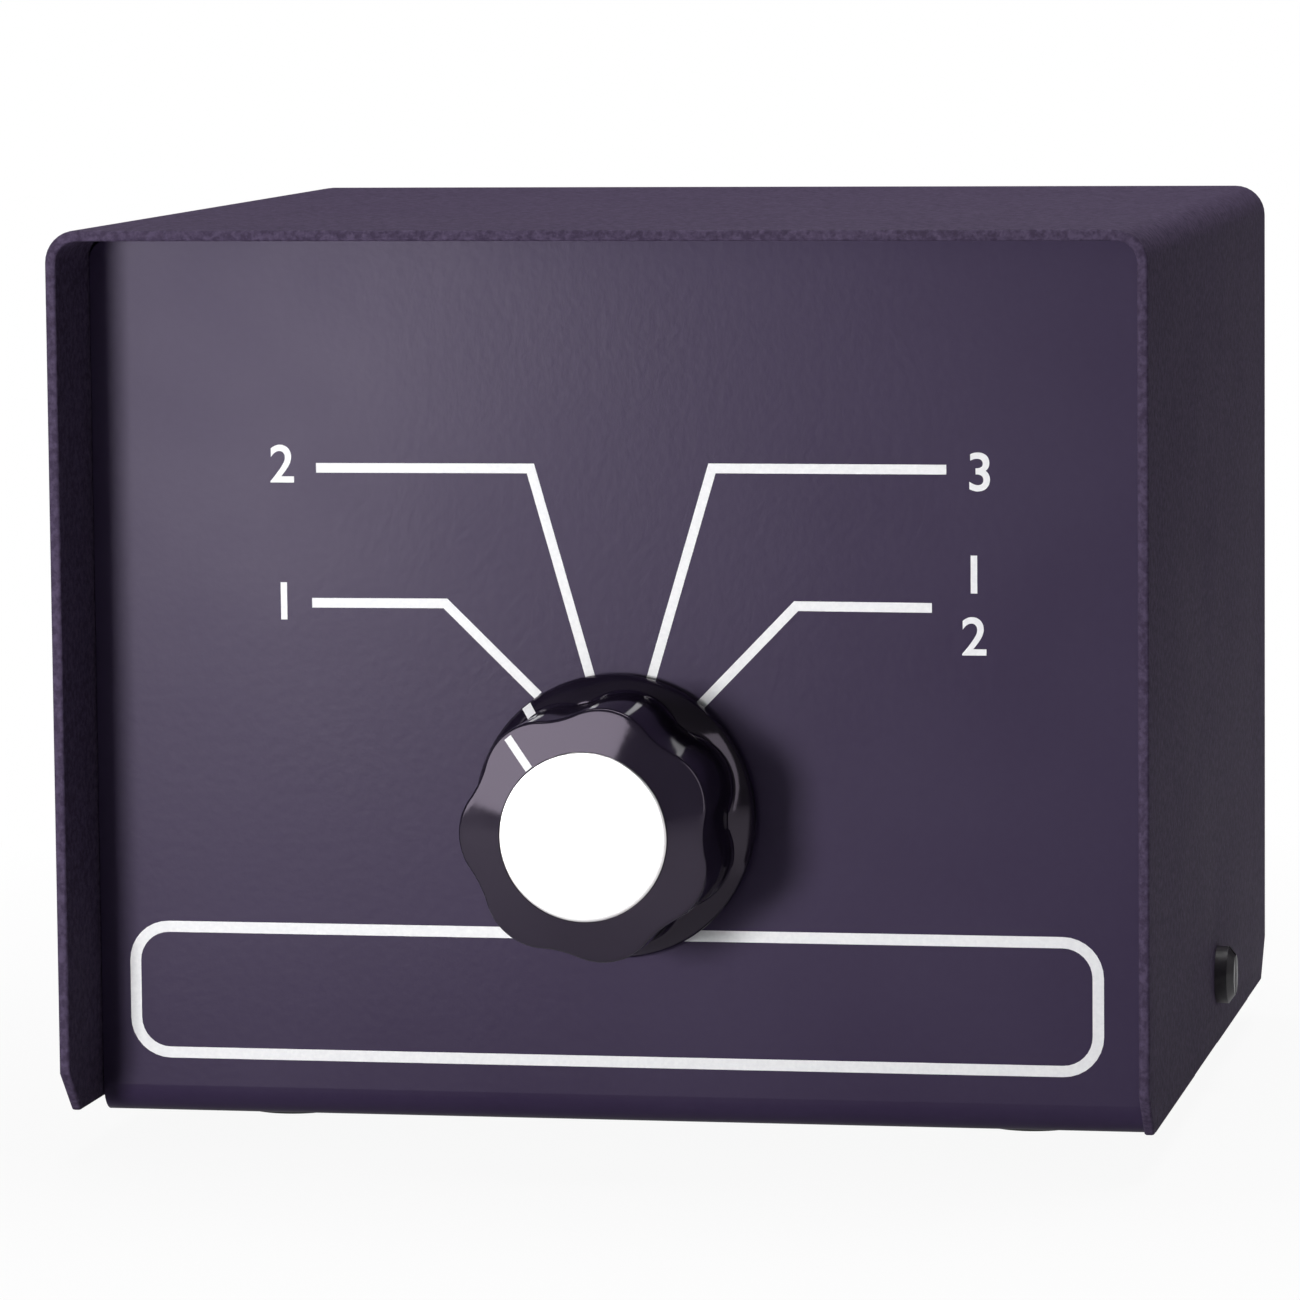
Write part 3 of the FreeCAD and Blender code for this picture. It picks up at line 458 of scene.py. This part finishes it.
def makeKnobBody():
    soft, edge = knob["softEdge"], knob["edgeRound"]
    insert, recess, skirt = knob["insert"], knob["recess"], knob["skirt"]
    recessFloor = knobBack - knob["recessDepth"]
    rimY = knobBack - knob["skirtRim"]
    faceTilt = math.atan(knob["faceSlope"])
    seat = knob["cap"] + knob["seatGap"]

    def plain(radius, y):
        return lambda angle: (radius, y)

    def foot(out, lift, least=0.0):
        def ring(angle):
            radius = max(least, lobeRadius(angle) + out)
            return radius, skirtY(radius) - lift
        return ring

    def corner(turn):
        def ring(angle):
            middle = lobeRadius(angle) - edge
            start = faceY(middle) + edge / math.cos(faceTilt)
            return middle + edge * math.cos(turn), start - edge * math.sin(turn)
        return ring

    def slope(share):
        def ring(angle):
            outer = lobeRadius(angle) - edge
            radius = outer + (seat - outer) * share
            return radius, faceY(radius)
        return ring

    # from the insert's pocket round the back, the skirt and the flutes to the cap's seat,
    # with rings set close to each edge to keep its shading even
    rings = [
        plain(insert, recessFloor - knob["insertLength"]), plain(insert, recessFloor),
        plain(recess, recessFloor), plain(recess, knobBack - soft), plain(recess + soft, knobBack),
        plain(skirt - soft, knobBack), plain(skirt, knobBack - soft), plain(skirt, rimY + soft),
        plain(skirt - 0.4 * soft, rimY), plain(skirt - soft, skirtY(skirt - soft)),
        foot(0.5, 0, knob["shoulder"]), foot(0.3, 0), foot(0.08, 0.08), foot(0, 0.3), foot(0, 0.5),
    ]
    lastTurn = math.pi / 2 - faceTilt
    rings += [corner(lastTurn * step / knob["edgeSteps"]) for step in range(knob["edgeSteps"] + 1)]
    rings += [slope(share) for share in (0.08, 0.35, 0.65, 0.92, 1.0)]
    rings.append(plain(seat, knobFace + knob["seatDepth"]))
    bm = bmesh.new()
    ringLoft(bm, rings)
    mergeShape(bm)
    cutScrewHole(bm)
    piece = knobPiece("fluted_knob", bm, "phenolic_black", smooth=38)
    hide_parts("knob_body")


makeKnobBody()

# Cap: a spun disc with a rounded edge and a shallow dish.
cap = {
    "edge": 0.18, "edgeBulge": 0.054, "dishStart": 0.54, "dish": 0.02, "middleDish": 0.05,
    "steps": 128,
}


def makeKnobCap():
    low, high = sizeOf("knob_cap")
    radius = (high.x - low.x) / 2
    front, back = low.y, high.y
    edge, bulge = cap["edge"], cap["edgeBulge"]
    bm = bmesh.new()
    profile = [(0, back), (radius, back), (radius, front + edge), (radius - bulge, front + bulge),
               (radius - edge, front), (radius - cap["dishStart"], front + cap["dish"]),
               (0, front + cap["middleDish"])]
    line = chain(bm, [(distance, y, 0) for distance, y in profile])
    bmesh.ops.spin(bm, geom=bm.verts[:] + line, cent=(0, 0, 0), axis=(0, 1, 0), angle=2 * math.pi,
                   steps=cap["steps"], use_merge=True)
    mergeShape(bm)
    piece = knobPiece("spun_cap", bm, "spun_aluminium", smooth=50)
    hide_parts("knob_cap")


makeKnobCap()

# Pointer: a painted line on the knob's face and a mark on its skirt.
pointer = {
    "proud": 0.03, "inkDepth": 0.2,
    "line": {"width": 0.74, "start": 7.85, "end": 11.35},
    "mark": {"width": 0.95, "start": 11.6, "end": 13.1},
}


def inlay(name, surface, width, start, end):
    # strip of paint along the pointer's line; surface gives the height at a radius
    bm = bmesh.new()
    edges = chain(bm, [(-width / 2, surface(radius) - pointer["proud"], radius) for radius in (start, end)])
    pull(bm, bmesh.ops.extrude_edge_only(bm, edges=edges), (width, 0, 0))
    pull(bm, bmesh.ops.extrude_face_region(bm, geom=bm.faces[:]), (0, pointer["inkDepth"], 0))
    bmesh.ops.recalc_face_normals(bm, faces=bm.faces)
    knobPiece(name, bm, "phenolic_black", ink)


inlay("pointer_line", faceY, **pointer["line"])
inlay("skirt_mark", skirtY, **pointer["mark"])
print("knob made")

# Printing on the panel: leaders, plain numbers and a rounded frame.
printing = {
    "proud": 0.02, "sunk": 0.002, "leaderWidth": 0.9,
    "digitHeight": 3.6, "digitShare": 0.73, "digitWeight": 0.06,
    "frameLow": (-46.9, 5.4), "frameHigh": (45.25, 18.4),
    "frameLine": 1.05, "frameRound": 3.8, "frameSteps": 8,
    "leaders": {
        "leader_1": [(-28.8, 48.55), (-16.1, 48.6), (-7.4, 40.1)],
        "leader_2": [(-28.25, 61.15), (-7.9, 61.2), (-2.4, 41.7)],
        "leader_3": [(30.9, 61.3), (9.15, 61.3), (3.1, 41.2)],
        "leader_4": [(29.5, 48.6), (16.9, 48.65), (7.45, 38.95)],
    },
    "digits": {
        "digit_1": ("1", -31.5, 48.5), "digit_2": ("2", -31.5, 61.3), "digit_3": ("3", 34.0, 60.9),
        "digit_4_top": ("1", 33.4, 51.5), "digit_4_low": ("2", 33.4, 45.8),
    },
}


def panelSheet(name, bm):
    # gives a flat outline its ink thickness, with its back just inside the panel's paint
    pull(bm, bmesh.ops.extrude_face_region(bm, geom=bm.faces[:]), (0, -printing["proud"], 0))
    bmesh.ops.recalc_face_normals(bm, faces=bm.faces)
    finishPiece(name, bm, "panel_paint", place=(0, panelY + printing["sunk"], 0), material=ink)


def makeLeader(name, points):
    # a strip of even width with a mitred elbow and square ends
    half = printing["leaderWidth"] / 2
    start, elbow, end = [Vector(point) for point in points]
    first = (elbow - start).normalized()
    second = (end - elbow).normalized()
    mitre = (first + second).normalized()
    corner = mitre.orthogonal() * half / mitre.dot(first)
    outline = [start + first.orthogonal() * half, elbow + corner, end + second.orthogonal() * half,
               end - second.orthogonal() * half, elbow - corner, start - first.orthogonal() * half]
    bm = bmesh.new()
    bm.faces.new([bm.verts.new((point.x, 0, point.y)) for point in outline])
    panelSheet(name, bm)


def makeDigit(name, text, x, z):
    curve = bpy.data.curves.new(name, "FONT")
    curve.body = text
    curve.size = printing["digitHeight"] / printing["digitShare"]
    curve.align_x = "CENTER"
    curve.align_y = "CENTER"
    curve.offset = printing["digitWeight"]
    maker = bpy.data.objects.new(name + "_text", curve)
    bpy.context.scene.collection.objects.link(maker)
    bpy.context.view_layer.update()
    mesh = bpy.data.meshes.new_from_object(maker)
    bpy.data.objects.remove(maker)
    bm = bmesh.new()
    bm.from_mesh(mesh)
    bmesh.ops.transform(bm, matrix=Matrix.Rotation(math.pi / 2, 4, "X"), verts=bm.verts)
    bmesh.ops.translate(bm, vec=(x, 0, z), verts=bm.verts)
    bmesh.ops.remove_doubles(bm, verts=bm.verts, dist=mergeGap)
    panelSheet(name, bm)


def frameLoop(bm, inset):
    # closed line of edges along the rounded frame, moved in by an inset
    (lowX, lowZ), (highX, highZ) = printing["frameLow"], printing["frameHigh"]
    reach, steps = printing["frameRound"], printing["frameSteps"]
    left, right = lowX + reach, highX - reach
    bottom, top = lowZ + reach, highZ - reach
    verts = []
    for quarter, (x, z) in enumerate(((right, top), (left, top), (left, bottom), (right, bottom))):
        for step in range(steps + 1):
            turn = (quarter + step / steps) * math.pi / 2
            spot = (x + (reach - inset) * math.cos(turn), 0, z + (reach - inset) * math.sin(turn))
            verts.append(bm.verts.new(spot))
    return [bm.edges.new(pair) for pair in zip(verts, verts[1:] + verts[:1])]


def makeFrameLine():
    bm = bmesh.new()
    bmesh.ops.bridge_loops(bm, edges=frameLoop(bm, 0) + frameLoop(bm, printing["frameLine"]))
    panelSheet("panel_frame", bm)


for leaderName, leaderPoints in printing["leaders"].items():
    makeLeader(leaderName, leaderPoints)
for digitName, (digitText, digitX, digitZ) in printing["digits"].items():
    makeDigit(digitName, digitText, digitX, digitZ)
makeFrameLine()
print("printing made")

# Floor, world, lamps and camera.
studio = {
    "floorSize": 6.0, "floorColour": (0.62, 0.62, 0.63), "floorRoughness": 0.9,
    "glowNear": 0.93, "glowFar": 1.0, "nearReach": 0.08, "farReach": 0.2, "shinyGlow": 0.3,
    "worldDiffuse": 0.03, "worldFront": 0.16, "worldRear": 0.03, "frontDepth": -0.6, "rearDepth": 0.3,
}
lamps = {
    "key": {"place": (-0.13, -0.385, 0.048), "aim": (0, -0.04, 0.045), "size": (0.07, 0.07), "power": 0.97},
    "soft": {"place": (-0.56, -0.84, 0.4), "aim": (0, -0.05, 0.04), "size": (1.4, 0.76), "power": 13.4,
             "shineOnly": True},
    "top": {"place": (0.02, 0.08, 0.6), "aim": (0, 0, 0.04), "size": (0.45, 0.35), "power": 3.5},
    "side": {"place": (0.85, 0.42, 0.3), "aim": (0, 0, 0.04), "size": (0.5, 0.5), "power": 0.26},
    "card": {"place": (0.55, -0.44, 0.24), "aim": (0, -0.05, 0.04), "size": (0.28, 0.55), "power": 0.75,
             "shineOnly": True},
}
cameraFit = {
    "x": 124.206, "y": -614.684, "z": 111.036, "yaw": 0.190940, "pitch": -0.104037, "roll": -0.009519,
    "lens": 192.34, "sensor": 36.0, "clipEnd": 20,
}


def makeFloor():
    # paper that the camera sees as white, a little darker close to the object
    bm = bmesh.new()
    bmesh.ops.create_grid(bm, x_segments=1, y_segments=1, size=studio["floorSize"] / 2)
    mesh = bpy.data.meshes.new("floor")
    bm.to_mesh(mesh)
    bm.free()
    paint = Paint("floorPaper", studio["floorColour"], studio["floorRoughness"])
    seen = paint.ray("Is Glossy Ray") * studio["shinyGlow"]
    seen = seen + paint.ray("Is Camera Ray") + paint.ray("Is Transmission Ray")
    glow = paint.node("ShaderNodeEmission", {}, {"Color": (1, 1, 1), "Strength": 1.0})
    away = paint.node("ShaderNodeVectorMath", {"operation": "LENGTH"}, {0: paint.place}, "Value")
    share = paint.ramp(away, studio["nearReach"], studio["farReach"], studio["glowNear"], studio["glowFar"])
    paper = Wire(paint, paint.shader.outputs[0])
    mix = paint.node("ShaderNodeMixShader", {}, {0: seen * share, 1: paper, 2: glow})
    paint.feed(paint.tree.nodes["Material Output"].inputs["Surface"], mix)
    mesh.materials.append(paint.material)
    floor = bpy.data.objects.new("floor", mesh)
    bpy.context.scene.collection.objects.link(floor)


def makeWorld():
    # white to the camera, dim to surfaces, with a little more in front for glossy ones
    world = bpy.data.worlds.new("studio")
    world.use_nodes = True
    bpy.context.scene.world = world
    sky = Graph(world.node_tree)
    background = sky.tree.nodes["Background"]
    direction = sky.node("ShaderNodeTexCoord", {}, {}, "Generated")
    depth = sky.node("ShaderNodeSeparateXYZ", {}, {0: direction}, "Y")
    ends = (studio["frontDepth"], studio["rearDepth"])
    shine = sky.ramp(depth, *ends, studio["worldFront"], studio["worldRear"])
    lit = sky.node("ShaderNodeMix", {}, {0: sky.ray("Is Glossy Ray"), 2: studio["worldDiffuse"], 3: shine})
    views = {0: sky.ray("Is Camera Ray"), 1: sky.ray("Is Transmission Ray")}
    straight = sky.node("ShaderNodeMath", {"operation": "MAXIMUM"}, views)
    strength = sky.node("ShaderNodeMix", {}, {0: straight, 2: lit, 3: 1.0})
    sky.feed(background.inputs["Color"], (1, 1, 1))
    sky.feed(background.inputs["Strength"], strength)


def makeLamp(name, place, aim, size, power, shineOnly=False):
    light = bpy.data.lights.new(name, "AREA")
    light.shape = "RECTANGLE"
    light.size, light.size_y = size
    light.energy = power
    lamp = bpy.data.objects.new(name, light)
    lamp.location = place
    lamp.rotation_euler = (Vector(place) - Vector(aim)).to_track_quat("Z", "Y").to_euler()
    lamp.visible_camera = False
    lamp.visible_diffuse = not shineOnly  # such a lamp shows in glossy surfaces alone
    bpy.context.scene.collection.objects.link(lamp)


def makeCamera():
    data = bpy.data.cameras.new("camera")
    data.lens = cameraFit["lens"]
    data.sensor_width = cameraFit["sensor"]
    data.clip_end = cameraFit["clipEnd"]
    camera = bpy.data.objects.new("camera", data)
    spot = boxOrigin + Vector((cameraFit["x"], cameraFit["y"], cameraFit["z"])) * mm
    turn = Matrix.Rotation(cameraFit["yaw"], 4, "Z")
    tilt = Matrix.Rotation(math.pi / 2 + cameraFit["pitch"], 4, "X")
    roll = Matrix.Rotation(cameraFit["roll"], 4, "Z")
    camera.matrix_world = Matrix.Translation(spot) @ turn @ tilt @ roll
    bpy.context.scene.collection.objects.link(camera)
    bpy.context.scene.camera = camera


makeFloor()
makeWorld()
for lampName, lampValues in lamps.items():
    makeLamp(lampName, **lampValues)
makeCamera()
bpy.context.scene.view_settings.view_transform = "Standard"
print("studio made")
